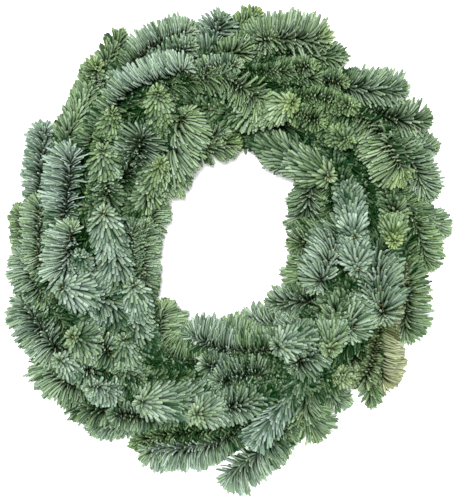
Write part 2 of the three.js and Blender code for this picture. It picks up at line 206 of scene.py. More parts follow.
# the needles under a shoot
UNDER_PER_MM = 1.0
UNDER_END = 14  # length before the bud that has none
UNDER_TURNS = (88, 150)
UNDER_LEAN, UNDER_LEAN_SPREAD = 60, 9
UNDER_LENGTH = 0.4  # share of the shoot's width
UNDER_LENGTHS = (10, 16)
UNDER_LENGTH_MEAN = 0.95  # share of that length
HOLE_SIDE_LENGTH, RING_SIDE_LENGTH = 8, 18  # of those in the inner row
UNDER_BLOOM = 0.3

# the tuft at a shoot's tip
TUFT_NEEDLES, TUFT_STRETCH = 16, 3
TUFT_LEAN, TUFT_LEAN_BACK = 20, 40  # at its front, and added at its back
TUFT_LEAN_SPREAD, TUFT_LENGTH_SPREAD, TUFT_BRUSH = 6, 0.1, 0.05
TUFT_LENGTH, TUFT_LENGTHS = 0.18, (5, 8)
TUFT_TONE, TUFT_FRESH, TUFT_FRESH_SPRING = 0.55, 0.1, 0.7

# the needles on the bound stem
BOUND_PER_MM, BOUND_BEGIN = 3.0, 2
BOUND_PAST_LIFT = 4  # how far past the lift they go, and before it the shoot's begin
FREED = (-14, 12)  # distances from the lift between which they get free
BOUND_LEAN, BOUND_LEAN_SPREAD = 60, 8
BOUND_LEAN_SHARE, BOUND_LENGTH_SHARE = 0.8, 0.85  # of the lean and length of the free ones
BOUND_SWEEP, BOUND_BRUSH, BOUND_BLOOM = 105, 0.2, 0.25
BOUND_LENGTH = {"outer": 21, "crown": 21, "inner": 27}

# the spread of single needles, as a standard deviation
SPREAD_TURN, SPREAD_LEAN = 5, 5
SPREAD_CURL, SPREAD_SIDE_CURL, SPREAD_FACE = 0.06, 0.09, 0.12
SPREAD_WIDTH, SPREAD_LENGTH, SPREAD_OLD_LENGTH = 0.07, 0.05, 0.08
SPREAD_TONE, SPREAD_BLOOM, SPREAD_FRESH = 0.17, 0.15, 0.05
LEAST_NEEDLES = 6
UNEVEN = 0.6  # largest stray along the twig, as a share of their distance

# ---- a needle, a twig and a bud ----
NEEDLE_WIDTH, NEEDLE_THICKNESS = 2.5, 1.6
NEEDLE_UPPER = 0.6  # thickness above its middle, as a share of that below
NEEDLE_BENT = 0.42  # share of its length by which it has turned its own way
STATIONS = np.array([0, 0.1, 0.26, 0.5, 0.75, 0.93, 1.0])  # along a needle
STATION_WIDTHS = np.array([0.5, 0.8, 0.96, 1.0, 1.0, 0.93, 0.55])
RING_POINTS = 4
REST_HEIGHT = 1.0  # least height of a needle's middle over what the wreath lies on
LEAST_HEIGHT = 0.2
FOOT_OUT = 1.1  # from a twig's middle to the foot of a needle or a side bud
KNEE = 28  # length of a shoot's end that rises more steeply than the rest
FORK = 5.4  # place on the leader that side shoots leave from, as Line.at() takes it
SIDE_BEGIN = 6  # bare length of a side shoot
TWIG_STEP, TWIG_LEAST_POINTS = 5, 8
SIDE_TWIG = 0.8  # thickness of a side shoot's foot, as a share of the leader's
TWIG_TIP_RADIUS, TWIG_TAPERS_FROM, TWIG_SPRING = 1.0, 0.2, 0.9
BUD_SHAPE = np.array([0.5, 0.95, 1.0, 0.8, 0.3])
BUD_RADIUS, BUD_LENGTH, BUD_SPLAY = 1.1, 3.2, 0.55
BUDS = ((0, 0, 1.0), (0.5, 0.8, 0.7), (0.4, -0.85, 0.7))  # each: above, beside, size
LAST_NEEDLE, TUFT_FRONT, BUDS_BEGIN = 1, 0.5, 2.5  # distances from a shoot's end

NEEDLE_SLOT, BARK_SLOT, BUD_SLOT = range(3)
STALK_SLOT, CORE_SLOT, THREAD_SLOT = range(3)

low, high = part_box("straw_ring")
RING_CENTRE = np.array([(low.x + high.x) / 2, (low.y + high.y) / 2, 0.0])


def in_row_frame(points):
    return np.asarray(points, float) * 0.001 + RING_CENTRE


# ---- small vector tools; every array of vectors is (count, 3) ----
UP = np.array([0.0, 0.0, 1.0])


def unit(v):
    return v / np.maximum(np.linalg.norm(v, axis=-1, keepdims=True), 1e-9)


def square_to(v, axis):
    """The part of v that is square to the unit vector axis, made a unit vector."""
    return unit(v - (v * axis).sum(-1, keepdims=True) * axis)


def smooth(low_end, high_end, x):
    t = np.clip((x - low_end) / (high_end - low_end), 0, 1)
    return t * t * (3 - 2 * t)


def up_from(least, share):
    """least at share 0, and 1 at share 1."""
    return least + (1 - least) * share


def wave(rng, s, length):
    return np.sin(2 * np.pi * (s / length + rng.uniform()))


def over_straw(around, over, height):
    """A point beside the straw: angle round the ring, angle over its section, height above it."""
    a, o = np.radians(around), np.radians(over)
    normal = np.array([np.cos(o) / RING_HALF_WIDTH, np.sin(o) / RING_CROWN])
    normal = normal / np.linalg.norm(normal, axis=0)
    radius = RING_RADIUS + RING_HALF_WIDTH * np.cos(o) + normal[0] * height
    z = RING_SHOULDER + RING_CROWN * np.sin(o) + normal[1] * height
    return np.array([radius * np.cos(a), radius * np.sin(a), z + 0 * radius])


class Line:
    """A centripetal Catmull-Rom curve through points, followed by arc length."""

    STEPS = 24

    def __init__(self, points):
        self.points = np.asarray(points, float)
        samples = [self.at(i / self.STEPS) for i in range(self.STEPS * (len(points) - 1) + 1)]
        self.samples = np.array(samples)
        steps = np.linalg.norm(np.diff(self.samples, axis=0), axis=1)
        self.lengths = np.concatenate([[0], np.cumsum(steps)])
        self.length = self.lengths[-1]

    def at(self, place):
        """The point at place, which is a point's number and the share of the way to the next."""
        p = self.points
        i = min(int(place), len(p) - 2)
        t = place - i
        before = p[i - 1] if i else 2 * p[0] - p[1]
        after = p[i + 2] if i + 2 < len(p) else 2 * p[-1] - p[-2]
        d0, d1, d2 = (
            math.sqrt(np.linalg.norm(b - a)) for a, b in
            ((before, p[i]), (p[i], p[i + 1]), (p[i + 1], after))
        )
        t1 = ((p[i] - before) / d0 - (p[i + 1] - before) / (d0 + d1) + (p[i + 1] - p[i]) / d1) * d1
        t2 = ((p[i + 1] - p[i]) / d1 - (after - p[i]) / (d1 + d2) + (after - p[i + 1]) / d2) * d1
        c2 = -3 * p[i] + 3 * p[i + 1] - 2 * t1 - t2
        c3 = 2 * p[i] - 2 * p[i + 1] + t1 + t2
        return p[i] + t1 * t + c2 * t * t + c3 * t ** 3

    def point(self, s):
        return np.stack([np.interp(s, self.lengths, self.samples[:, k]) for k in range(3)], -1)

    def ahead(self, s):
        return unit(self.point(np.asarray(s) + 0.6) - self.point(np.asarray(s) - 0.6))

    def length_to(self, number):
        return self.lengths[number * self.STEPS]


class Soup:
    """Gathers the closed bits of one piece: points, quads, their material and their UV cell."""

    NAMES = ("tone", "along", "across", "bloom", "spring", "dry")

    def __init__(self):
        self.points, self.quads, self.uvs, self.slots, self.values = [], [], [], [], []
        self.count = self.cells = 0
        self.dry = 0.0

    def add(self, points, quads, uvs, slot, cells=1, **values):
        """points (n, 3), quads (m, 4), uvs (m, 4, 2) from cell_uvs() and the cells they fill."""
        self.points.append(points)
        self.quads.append(quads + self.count)
        self.uvs.append(uvs)
        self.slots.append(np.full(len(quads), slot))
        values["dry"] = self.dry
        self.values.append(np.stack(
            [np.broadcast_to(values.get(n, 0.0), (len(points),)) for n in self.NAMES], -1))
        self.count += len(points)
        self.cells += cells


CELL_MARGINS = (0.04, 0.02)  # beside what lies in a UV cell, and above and below it
SIDES_LOW, SIDES_HEIGHT = 0.06, 0.88  # of a tube's sides in its cell; its ends lie beyond
SIDE_SHARE = 0.92  # share of its place that a side's quad takes up
END_HEIGHT = 0.04


def rectangle(left, right, bottom, top):
    return [[left, bottom], [right, bottom], [right, top], [left, top]]


def cell_uvs(quad_uvs, first_cell, cells):
    """Puts the same quad_uvs (m, 4, 2), in 0 to 1, into cells cells: u gets the cell's number."""
    margin = CELL_MARGINS[0]
    numbers = first_cell + np.arange(cells)
    uvs = np.broadcast_to(quad_uvs, (cells,) + quad_uvs.shape).copy()
    uvs[..., 0] = margin + (1 - 2 * margin) * uvs[..., 0] + numbers[:, None, None]
    return uvs.reshape(-1, 4, 2)


def rings_to_quads(rings, around):
    """Quads and their 0 to 1 UVs of a tube of rings, each of around points, without its ends."""
    quads, uvs = [], []
    for r in range(rings - 1):
        for k in range(around):
            here, ahead, n = r * around, (r + 1) * around, (k + 1) % around
            quads.append([here + k, here + n, ahead + n, ahead + k])
            uvs.append(rectangle(k / around, (k + SIDE_SHARE) / around,
                                 SIDES_LOW + SIDES_HEIGHT * r / (rings - 1),
                                 SIDES_LOW + SIDES_HEIGHT * (r + 1) / (rings - 1)))
    return quads, uvs


def needle_template():
    rings = len(STATIONS)
    quads, uvs = rings_to_quads(rings, RING_POINTS)
    last = (rings - 1) * RING_POINTS
    quads += [[3, 2, 1, 0], [last, last + 1, last + 2, last + 3]]
    uvs += [rectangle(0.1, 0.5, 0.0, 0.05), rectangle(0.1, 0.5, 0.95, 1.0)]
    return np.array(quads), np.array(uvs)


NEEDLE_QUADS, NEEDLE_UVS = needle_template()


def add_needles(soup, base, start, end, curl, face, length, width, lit, **looks):
    """Adds needles that leave base along start, bend to end and curl on towards curl. The unit
    vector face is the side their upper face is turned to, and the higher lit is, the nearer to
    its foot each comes out of the painted shade that darkens a needle towards its foot."""
    n = len(base)
    point, rings = base, []
    turns = smooth(0.0, NEEDLE_BENT, STATIONS)
    heading = None
    for k, u in enumerate(STATIONS):
        here = unit(start * (1 - turns[k]) + end * turns[k] + curl * u * u)
        if k:
            step = (STATIONS[k] - STATIONS[k - 1]) * length[:, None]
            point = point + step * unit(here + heading)
            point[:, 2] = np.maximum(point[:, 2], REST_HEIGHT)
        heading = here
        across = unit(np.cross(heading, face))
        upper = np.cross(across, heading)
        w = across * (width * STATION_WIDTHS[k] / 2)[:, None]
        t = upper * (width / NEEDLE_WIDTH * NEEDLE_THICKNESS * STATION_WIDTHS[k] / 2)[:, None]
        rings.append(np.stack([point + w, point + NEEDLE_UPPER * t, point - w, point - t], 1))
    points = np.stack(rings, 1).reshape(-1, 3)
    points[:, 2] = np.maximum(points[:, 2], LEAST_HEIGHT)
    per_needle = len(STATIONS) * RING_POINTS
    quads = NEEDLE_QUADS[None] + (np.arange(n) * per_needle)[:, None, None]
    # along drives the painted shade at a needle's foot; lit shortens that shade
    along = np.tile(np.repeat(np.minimum(STATIONS * lit, 1), RING_POINTS), n)
    across = np.tile(np.tile([1.0, 0.0, 1.0, 0.0], len(STATIONS)), n)
    looks = {name: np.repeat(value, per_needle) for name, value in looks.items()}
    soup.add(points, quads.reshape(-1, 4), cell_uvs(NEEDLE_UVS, soup.cells, n), NEEDLE_SLOT,
             cells=n, along=along, across=across, **looks)


def add_tube(soup, centres, radii, slot, sides=8, cells=1, **looks):
    """A closed tube round the points centres, with a radius at each. A long one is unwrapped into
    several cells, one after another."""
    centres = np.asarray(centres, float)
    rings = len(centres)
    ahead = unit(np.gradient(centres, axis=0))
    helper = np.where(np.abs(ahead[:, 2:3]) < 0.8, [[0.0, 0, 1]], [[1.0, 0, 0]])
    side = square_to(helper, ahead)
    for i in range(1, rings):
        side[i] = square_to(side[i - 1], ahead[i])
    other = np.cross(ahead, side)
    turn = (np.arange(sides) * 2 * np.pi / sides)[None, :, None]
    ring = np.cos(turn) * side[:, None] + np.sin(turn) * other[:, None]
    radii = np.broadcast_to(radii, (rings,))
    points = (centres[:, None] + ring * radii[:, None, None]).reshape(-1, 3)

    quads, uvs = rings_to_quads(rings, sides)
    half, last = sides // 2, (rings - 1) * sides
    for k in range(half - 1):
        foot = [half - 1 - k, half - 2 - k, (half + 1 + k) % sides, half + k]
        quads += [foot, [last + corner for corner in reversed(foot)]]
        uvs += [rectangle(0.1 + 0.2 * k, 0.25 + 0.2 * k, bottom, bottom + END_HEIGHT)
                for bottom in (0.0, 1 - END_HEIGHT)]
    uvs = np.array(uvs)
    rings_per_cell = math.ceil((rings - 1) / cells)
    cell = np.repeat(np.arange(rings - 1) // rings_per_cell, sides)
    stretching = (rings - 1) / rings_per_cell
    heights = uvs[:len(cell), :, 1]
    uvs[:len(cell), :, 1] = SIDES_LOW + (heights - SIDES_LOW) * stretching
    uvs[:len(cell), :, 1] -= SIDES_HEIGHT * cell[:, None]
    uvs = cell_uvs(uvs, soup.cells, 1)
    uvs[:len(cell), :, 0] += cell[:, None]

    along = np.repeat(np.linspace(0, 1, rings), sides)
    looks = {name: np.broadcast_to(v, (rings,)).repeat(sides) for name, v in looks.items()}
    soup.add(points, np.array(quads), uvs, slot, cells, along=along, **looks)


def make_piece(name, soup, materials, replaces):
    """Makes a soup into a mesh in the row frame that rides on the wreath's one body."""
    points = in_row_frame(np.concatenate(soup.points)).astype(np.float32)
    quads = np.concatenate(soup.quads)
    uvs = np.concatenate(soup.uvs).reshape(-1, 2)
    side = math.ceil(math.sqrt(soup.cells))
    number = np.floor(uvs[:, 0])
    margin = CELL_MARGINS[1]
    uvs = np.stack([(number % side + uvs[:, 0] - number) / side,
                    (number // side + margin + (1 - 2 * margin) * uvs[:, 1]) / side], -1)
    mesh = bpy.data.meshes.new(name)
    mesh.vertices.add(len(points))
    mesh.vertices.foreach_set("co", points.ravel())
    mesh.loops.add(len(quads) * 4)
    mesh.loops.foreach_set("vertex_index", quads.astype(np.int32).ravel())
    mesh.polygons.add(len(quads))
    mesh.polygons.foreach_set("loop_start", (np.arange(len(quads)) * 4).astype(np.int32))
    mesh.polygons.foreach_set("material_index", np.concatenate(soup.slots).astype(np.int32))
    mesh.update(calc_edges=True)
    mesh.shade_smooth()
    mesh.uv_layers.new(name="OFBake").data.foreach_set("uv", uvs.astype(np.float32).ravel())
    values = np.concatenate(soup.values).astype(np.float32)
    for k, value_name in enumerate(Soup.NAMES):
        attribute = mesh.attributes.new(value_name, "FLOAT", "POINT")
        attribute.data.foreach_set("value", np.ascontiguousarray(values[:, k]))
    for material in materials:
        mesh.materials.append(material)
    piece = bpy.data.objects.new(name, mesh)
    bpy.context.scene.collection.objects.link(piece)
    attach(piece, "root")
    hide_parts(replaces)


# ---- materials ----
def new_material(name, roughness, specular=0.5):
    material = bpy.data.materials.new(name)
    material.use_nodes = True
    shader = material.node_tree.nodes["Principled BSDF"]
    shader.inputs["Roughness"].default_value = roughness
    shader.inputs["Specular IOR Level"].default_value = specular
    return material, shader


class Nodes:
    """Short calls for the few kinds of shader node that the materials use."""

    def __init__(self, material):
        self.tree = material.node_tree

    def put(self, socket, value):
        if isinstance(value, bpy.types.NodeSocket):
            self.tree.links.new(value, socket)
        else:
            socket.default_value = value

    def value(self, name):
        node = self.tree.nodes.new("ShaderNodeAttribute")
        node.attribute_name = name
        return node.outputs["Fac"]

    def math(self, kind, a, b=0.0, clamp=False):
        node = self.tree.nodes.new("ShaderNodeMath")
        node.operation, node.use_clamp = kind, clamp
        self.put(node.inputs[0], a)
        self.put(node.inputs[1], b)
        return node.outputs[0]

    def span(self, value, from_low, from_high, to_low=0.0, to_high=1.0):
        node = self.tree.nodes.new("ShaderNodeMapRange")
        node.interpolation_type = "SMOOTHSTEP"
        for key, v in (("Value", value), ("From Min", from_low), ("From Max", from_high),
                       ("To Min", to_low), ("To Max", to_high)):
            self.put(node.inputs[key], v)
        return node.outputs[0]

    def mix(self, share, a, b, blend="MIX"):
        node = self.tree.nodes.new("ShaderNodeMix")
        node.data_type, node.blend_type = "RGBA", blend
        self.put(node.inputs[0], share)
        for socket, colour in ((node.inputs[6], a), (node.inputs[7], b)):
            self.put(socket, (*colour, 1.0) if isinstance(colour, tuple) else colour)
        return node.outputs[2]

    def noise(self, scale, detail=2.0, roughness=0.5):
        node = self.tree.nodes.new("ShaderNodeTexNoise")
        where = self.tree.nodes.new("ShaderNodeTexCoord")
        self.put(node.inputs["Vector"], where.outputs["Object"])
        for key, v in (("Scale", scale), ("Detail", detail), ("Roughness", roughness)):
            self.put(node.inputs[key], v)
        return node.outputs["Fac"]

    def bump(self, height, strength, distance):
        node = self.tree.nodes.new("ShaderNodeBump")
        for key, v in (("Strength", strength), ("Distance", distance), ("Height", height)):
            self.put(node.inputs[key], v)
        return node.outputs["Normal"]


def needle_material():
    material, shader = new_material("fir_needles", 0.5, 0.14)
    n = Nodes(material)
    tone, along, across = n.value("tone"), n.value("along"), n.value("across")
    # at tone 0, which the needles under shoots and on bound stems keep, the colours are near black:
    # painted shade
    green = n.mix(tone, (0.004, 0.028, 0.003), (0.245, 0.366, 0.168))
    waxy = n.mix(tone, (0.016, 0.074, 0.036), (0.455, 0.565, 0.55))
    stripe = n.span(across, 0.15, 0.6, 0.5, 1.0)
    patchy = n.span(n.noise(260.0), 0.3, 0.7, 0.7, 1.0)
    share = n.math("MULTIPLY", n.value("bloom"), n.math("MULTIPLY", stripe, patchy), clamp=True)
    colour = n.mix(share, green, waxy)
    fresh = n.mix(tone, (0.06, 0.12, 0.02), (0.35, 0.45, 0.16))
    colour = n.mix(n.value("spring"), colour, fresh)
    colour = n.mix(n.value("dry"), colour, n.mix(tone, (0.14, 0.11, 0.04), (0.50, 0.42, 0.28)))
    # painted shade: each needle is darkened towards its foot, where the needles round it would
    # shade it; its specular is lowered there too
    shade = n.mix(n.span(along, 0.08, 0.84), (0.008, 0.035, 0.005), (1.0, 1.0, 1.0))
    colour = n.mix(1.0, colour, shade, "MULTIPLY")
    n.put(shader.inputs["Base Color"], colour)
    n.put(shader.inputs["Specular IOR Level"], n.span(along, 0.1, 0.8, 0.0, 0.13))
    n.put(shader.inputs["Roughness"], n.span(n.noise(400.0), 0.2, 0.8, 0.42, 0.62))
    n.put(shader.inputs["Normal"], n.bump(n.noise(900.0, 3.0), 0.25, 0.0004))
    return material


def bark_material():
    material, shader = new_material("fir_twig_bark", 0.75, 0.3)
    n = Nodes(material)
    patches = n.span(n.noise(160.0, 4.0, 0.65), 0.3, 0.7)
    # dark brown, darker than the bark itself: partly its colour, partly painted shade so that twigs
    # read as shadow among the needles
    colour = n.mix(patches, (0.025, 0.02, 0.009), (0.06, 0.048, 0.022))
    colour = n.mix(n.value("spring"), colour, (0.34, 0.26, 0.09))
    colour = n.mix(n.span(n.value("dry"), 0.1, 0.35), colour, (0.58, 0.40, 0.16))
    n.put(shader.inputs["Base Color"], colour)
    n.put(shader.inputs["Normal"], n.bump(n.noise(700.0, 4.0, 0.7), 0.5, 0.0006))
    return material


def bud_material():
    material, shader = new_material("fir_end_bud", 0.45, 0.5)
    n = Nodes(material)
    scales = n.span(n.noise(420.0, 2.0), 0.35, 0.65)
    n.put(shader.inputs["Base Color"], n.mix(scales, (0.07, 0.055, 0.02), (0.16, 0.15, 0.055)))
    n.put(shader.inputs["Normal"], n.bump(scales, 0.5, 0.0005))
    return material


NEEDLE, BARK, BUD = needle_material(), bark_material(), bud_material()


# ---- sprigs ----
def frame_along(line, s, roll):
    """The twig's direction, the way its needles are brushed and the side, at lengths s."""
    ahead = line.ahead(s)
    up = square_to(np.broadcast_to(UP, ahead.shape), ahead)
    inward = np.cross(ahead, up)
    turn = np.radians(roll)[:, None] if np.ndim(roll) else math.radians(roll)
    brushed = np.cos(turn) * up - np.sin(turn) * inward
    return ahead, brushed, np.cross(ahead, brushed)


def drift(rng, s):
    """A slow random swing between about -1 and 1 along a shoot, so that its needles vary in
    tufts."""
    swing = 0
    for length in DRIFT_WAVES:
        swing = swing + wave(rng, s, length) / 2
    return swing


def around_twig(rng, count):
    """Angles of needles round the twig, from straight up, as a fir sets them."""
    turns = np.arange(count) * GOLDEN_ANGLE + rng.normal(0, SPREAD_TURN, count)
    turns = turns + rng.uniform(0, 360)
    return np.radians((turns + 180) % 360 - 180)


def grow(soup, rng, line, s, raw, turned, lean, length, roll=0, brush=0.0, tone=0.0, bloom=0.0,
         fresh=0.0, broad=1.0, lit=1.0):
    """Needles at lengths s along line. Each leaves the twig at the angle raw round it and ends at
    the angle turned, lean degrees off the twig's direction, and curves on by brush towards the
    side that roll gives."""
    count = len(s)
    ahead, up, side = frame_along(line, s, roll)

    def out(angle):
        return np.cos(angle)[:, None] * up + np.sin(angle)[:, None] * side

    lean = np.radians(lean)[:, None]
    start = unit(np.cos(lean * 0.5) * ahead + np.sin(lean * 0.5) * out((raw + turned) / 2))
    end = unit(np.cos(lean) * ahead + np.sin(lean) * out(turned))
    curl = up * (brush + rng.normal(0, SPREAD_CURL, count))[:, None]
    curl += side * rng.normal(0, SPREAD_SIDE_CURL, count)[:, None]
    level = square_to(np.cross(ahead, UP), ahead)
    flat = np.abs((end * level).sum(1))[:, None]
    face = ahead * (1 - flat) + UP * flat
    face = unit(face + rng.normal(0, SPREAD_FACE, (count, 3)))
    width = broad * NEEDLE_WIDTH * rng.normal(1, SPREAD_WIDTH, count)
    tone = np.clip(tone + rng.normal(0, SPREAD_TONE, count), 0, 1)
    bloom = np.clip(bloom + rng.normal(0, SPREAD_BLOOM, count), 0, 1)
    fresh = np.clip(fresh + rng.normal(0, SPREAD_FRESH, count), 0, 1)
    base = line.point(s) + out(raw) * FOOT_OUT
    add_needles(soup, base, start, end, curl, face, length, width, lit,
                tone=tone, bloom=bloom, spring=fresh)


def spaced(rng, begin, finish, per_mm):
    """Lengths from begin to finish, unevenly spaced."""
    count = max(LEAST_NEEDLES, int((finish - begin) * per_mm))
    return begin + (finish - begin) * (np.arange(count) + rng.uniform(0, UNEVEN, count)) / count


def clothe_shoot(soup, rng, line, begin, heel, finish, shoot):
    """The needles on a shoot's upper side, up to its bud at finish. Before its heel they are
    shorter and darker: older, and with painted shade where other shoots cover them."""
    setting = TILED if shoot.rise in TILED_RISES else COMBED
    s = spaced(rng, begin, finish, setting.per_mm)
    count = len(s)
    tip = smooth(finish - TIP_STRETCH, finish, s)
    raw = around_twig(rng, count)
    sweep = SWEEP * (1 - ROLLED_SWEEP_LOST * smooth(*ROLLED, abs(shoot.roll)))
    sweep = np.radians(sweep + (TIP_SWEEP - sweep) * tip)
    turned = np.sign(raw) * (np.abs(raw) / np.pi) ** CROWDING * sweep
    turned = turned + TURN_DRIFT * drift(rng, s)
    leans = shoot.lean * (1 - setting.closing * tip)
    leans = leans + rng.normal(0, SPREAD_LEAN, count) + LEAN_DRIFT * drift(rng, s)
    length = np.clip(shoot.width * setting.length, SHORTEST, setting.longest)
    full = smooth(heel + LENGTHENED[0], heel + LENGTHENED[1], s)
    length = length * (1 - TIP_SHORTER * tip) * up_from(FOOT_LENGTH, full)
    length = length * (rng.normal(1, SPREAD_LENGTH, count) + LENGTH_DRIFT * drift(rng, s))
    grown_out_of_shade = smooth(heel + GROWN_OUT_OF_SHADE[0], heel + GROWN_OUT_OF_SHADE[1], s)
    # opened shoots are painted lighter, as if light got in between their needles
    opened = smooth(*OPENED, abs(shoot.roll))
    tone = TONE_FOOT + TONE_GROWN_OUT_OF_SHADE * grown_out_of_shade + TONE_DRIFT * drift(rng, s) + TONE_OPENED * opened
    grow(soup, rng, line, s, raw, turned, leans, length, roll=shoot.roll,
         brush=setting.brush * (1 - TIP_STRAIGHTER * tip), tone=tone,
         bloom=shoot.bloom * up_from(FOOT_BLOOM, grown_out_of_shade),
         fresh=shoot.spring * (FRESH_ALONG * grown_out_of_shade + FRESH_TIP * tip),
         broad=setting.broad, lit=1 + OPENED_LIGHT * opened)


def clothe_underside(soup, rng, line, begin, finish, shoot, row):
    """Older, shorter needles that stand out level at both sides, below the others, darker both
    with age and with painted shade. In the inner row those towards the hole are the shortest."""
    s = spaced(rng, begin, finish - UNDER_END, UNDER_PER_MM)
    count = len(s)
    sides = np.where(np.arange(count) % 2, 1.0, -1.0)
    turned = sides * np.radians(rng.uniform(*UNDER_TURNS, count))
    length = np.clip(shoot.width * UNDER_LENGTH, *UNDER_LENGTHS)
    length = length * rng.normal(UNDER_LENGTH_MEAN, SPREAD_OLD_LENGTH, count)
    if row == "inner":
        length = np.where(sides > 0, HOLE_SIDE_LENGTH, RING_SIDE_LENGTH)
    leans = UNDER_LEAN + rng.normal(0, UNDER_LEAN_SPREAD, count)
    # tone is left at 0 and bloom low: painted shade as well as older needles
    grow(soup, rng, line, s, turned, turned, leans, length, bloom=shoot.bloom * UNDER_BLOOM)


def clothe_tip(soup, rng, line, finish, shoot):
    """The tuft of short young needles that hides the bud."""
    s = finish - rng.uniform(0, TUFT_STRETCH, TUFT_NEEDLES)
    raw = around_twig(rng, TUFT_NEEDLES)
    leans = TUFT_LEAN + TUFT_LEAN_BACK * (finish - s) / TUFT_STRETCH
    leans = leans + rng.normal(0, TUFT_LEAN_SPREAD, TUFT_NEEDLES)
    length = np.clip(shoot.width * TUFT_LENGTH, *TUFT_LENGTHS)
    length = length * rng.normal(1, TUFT_LENGTH_SPREAD, TUFT_NEEDLES)
    grow(soup, rng, line, s, raw, raw, leans, length, brush=TUFT_BRUSH, tone=TUFT_TONE,
         bloom=shoot.bloom, fresh=TUFT_FRESH + TUFT_FRESH_SPRING * shoot.spring)


def clothe_bound(soup, rng, line, lifted, shoot, row):
    """Needles on the stem that is bound down: they lie close to it, and rise where it has lifted
    off the straw. They keep tone 0 and little bloom, older needles with painted shade for the
    gaps between shoots."""
    s = spaced(rng, BOUND_BEGIN, lifted + BOUND_PAST_LIFT, BOUND_PER_MM)
    count = len(s)
    free = smooth(lifted + FREED[0], lifted + FREED[1], s)
    raw = around_twig(rng, count)
    turned = raw / np.pi * np.radians(BOUND_SWEEP + (SWEEP - BOUND_SWEEP) * free)
    leans = BOUND_LEAN * up_from(BOUND_LEAN_SHARE, free)
    leans = leans + rng.normal(0, BOUND_LEAN_SPREAD, count)
    length = BOUND_LENGTH[row] * up_from(BOUND_LENGTH_SHARE, free)
    length = length * rng.normal(1, SPREAD_OLD_LENGTH, count)
    # tone is left at 0 and bloom low: painted shade in the gaps as well as older needles
    grow(soup, rng, line, s, raw, turned, leans, length, roll=shoot.roll * free,
         brush=BOUND_BRUSH * free, bloom=shoot.bloom * BOUND_BLOOM)


def add_twig(soup, line, foot_radius, spring):
    points = max(TWIG_LEAST_POINTS, int(line.length / TWIG_STEP))
    s = np.linspace(0, line.length, points)
    share = s / line.length
    tapered = smooth(TWIG_TAPERS_FROM, 1.0, share)
    radii = foot_radius + (TWIG_TIP_RADIUS - foot_radius) * tapered
    add_tube(soup, line.point(s), radii, BARK_SLOT, spring=TWIG_SPRING * spring * share)


def add_buds(soup, rng, line, at):
    """The end bud, and two smaller ones beside it."""
    ahead, up, side = (v[0] for v in frame_along(line, np.array([at]), 0))
    place = line.point(np.array([at]))[0]
    for above, beside, size in BUDS:
        out = up * above + side * beside
        way = unit(ahead + out * BUD_SPLAY)
        steps = np.linspace(0, BUD_LENGTH * size, len(BUD_SHAPE))
        centres = place + out * FOOT_OUT + steps[:, None] * way
        radii = BUD_RADIUS * size * BUD_SHAPE
        add_tube(soup, centres, radii, BUD_SLOT, tone=rng.uniform(0.2, 0.8))


def heel_to_bud(heel, bud, rise):
    """The last points of a shoot. One that rises has a knee before its bud."""
    if not rise:
        return [heel, bud]
    level = (bud - heel) * [1, 1, 0]
    angle = math.radians(rise)
    return [heel, bud - KNEE * (math.cos(angle) * unit(level) + [0, 0, math.sin(angle)]), bud]


def bound_stem(row, turn):
    """The points of a leader from its foot to where it has lifted off the straw."""
    lane = LANES[row][turn % 2]
    foot = turn * TURN_ANGLE
    return [
        *(over_straw(foot - past, lane, SEAT) for past in BOUND),
        over_straw(foot - LIFT[0], lane, (SEAT + LIFT_HEIGHT) / 2),
        over_straw(foot - LIFT[1], lane, LIFT_HEIGHT),
    ]


def make_sprig(row, number, turn, shoots):
    rng = np.random.default_rng([5, number, 7])
    soup = Soup()
    leader = None
    for k, shoot in enumerate(Shoot(*values) for values in shoots):
        bud, heel = np.array(shoot.bud, float), np.array(shoot.heel, float)
        upper = heel_to_bud(heel, bud, shoot.rise)
        if leader is None:
            line = leader = Line(bound_stem(row, turn) + upper)
            foot_radius = STEM_RADIUS
            lifted = line.length_to(len(BOUND))
            clothe_bound(soup, rng, line, lifted, shoot, row)
            begin = lifted - BOUND_PAST_LIFT
            at_heel = line.length_to(len(BOUND) + len(LIFT))
        else:
            fork = leader.at(FORK)
            line = Line([fork, (fork + heel) / 2, *upper])
            foot_radius = STEM_RADIUS * SIDE_TWIG
            begin = SIDE_BEGIN
            at_heel = line.length_to(2)
        end = line.length
        soup.dry = DRY.get((row, number, k), 0.0)
        clothe_shoot(soup, rng, line, begin, at_heel, end - LAST_NEEDLE, shoot)
        clothe_underside(soup, rng, line, begin, end - LAST_NEEDLE, shoot, row)
        clothe_tip(soup, rng, line, end - TUFT_FRONT, shoot)
        add_twig(soup, line, foot_radius, shoot.spring)
        add_buds(soup, rng, line, end - BUDS_BEGIN)
    name = f"{row}_sprig_{number:02d}"
    make_piece(f"{name}_needled", soup, (NEEDLE, BARK, BUD), name)


for row, sprigs in SPRIGS.items():
    for number, (turn, *shoots) in enumerate(sprigs, 1):
        make_sprig(row, number, turn, shoots)


# ---- straw ring: stalks laid along it and bound with thread ----
STALK_HALF_WIDTH, STALK_HALF_THICKNESS = 1.9, 1.1
STALK_SECTION = np.array([[1, 0], [0.5, 0.85], [-0.5, 0.85], [-1, 0], [-0.5, -0.85], [0.5, -0.85]])
STALK_CAPS = (((0, 1, 2, 3), 0.1), ((0, 3, 4, 5), 0.5))  # each: corners, and its left in UV
STALK_CAP_WIDTH = 0.3
STALK_SIZES, STALK_END_SIZE = (0.85, 1.1), 0.5  # shares of the half width and thickness
STALK_PITCH, STALK_STRAY = 3.1, 0.15  # between neighbours, and a share of it that they stray
STALK_STEP = 2.9  # between the points of a stalk
STALK_ROUNDING = 2 * STALK_STEP  # length over which each end narrows
STALK_LENGTHS, STALK_OVERLAP = (150, 270), 6
COVER = 0.1  # least depth of a stalk's upper side
WANDER, WANDER_LENGTHS = 0.7, (90, 160)  # of a stalk, to its sides
SINKING, SINKING_LENGTHS = 0.25, (40, 80)  # of a stalk, inwards
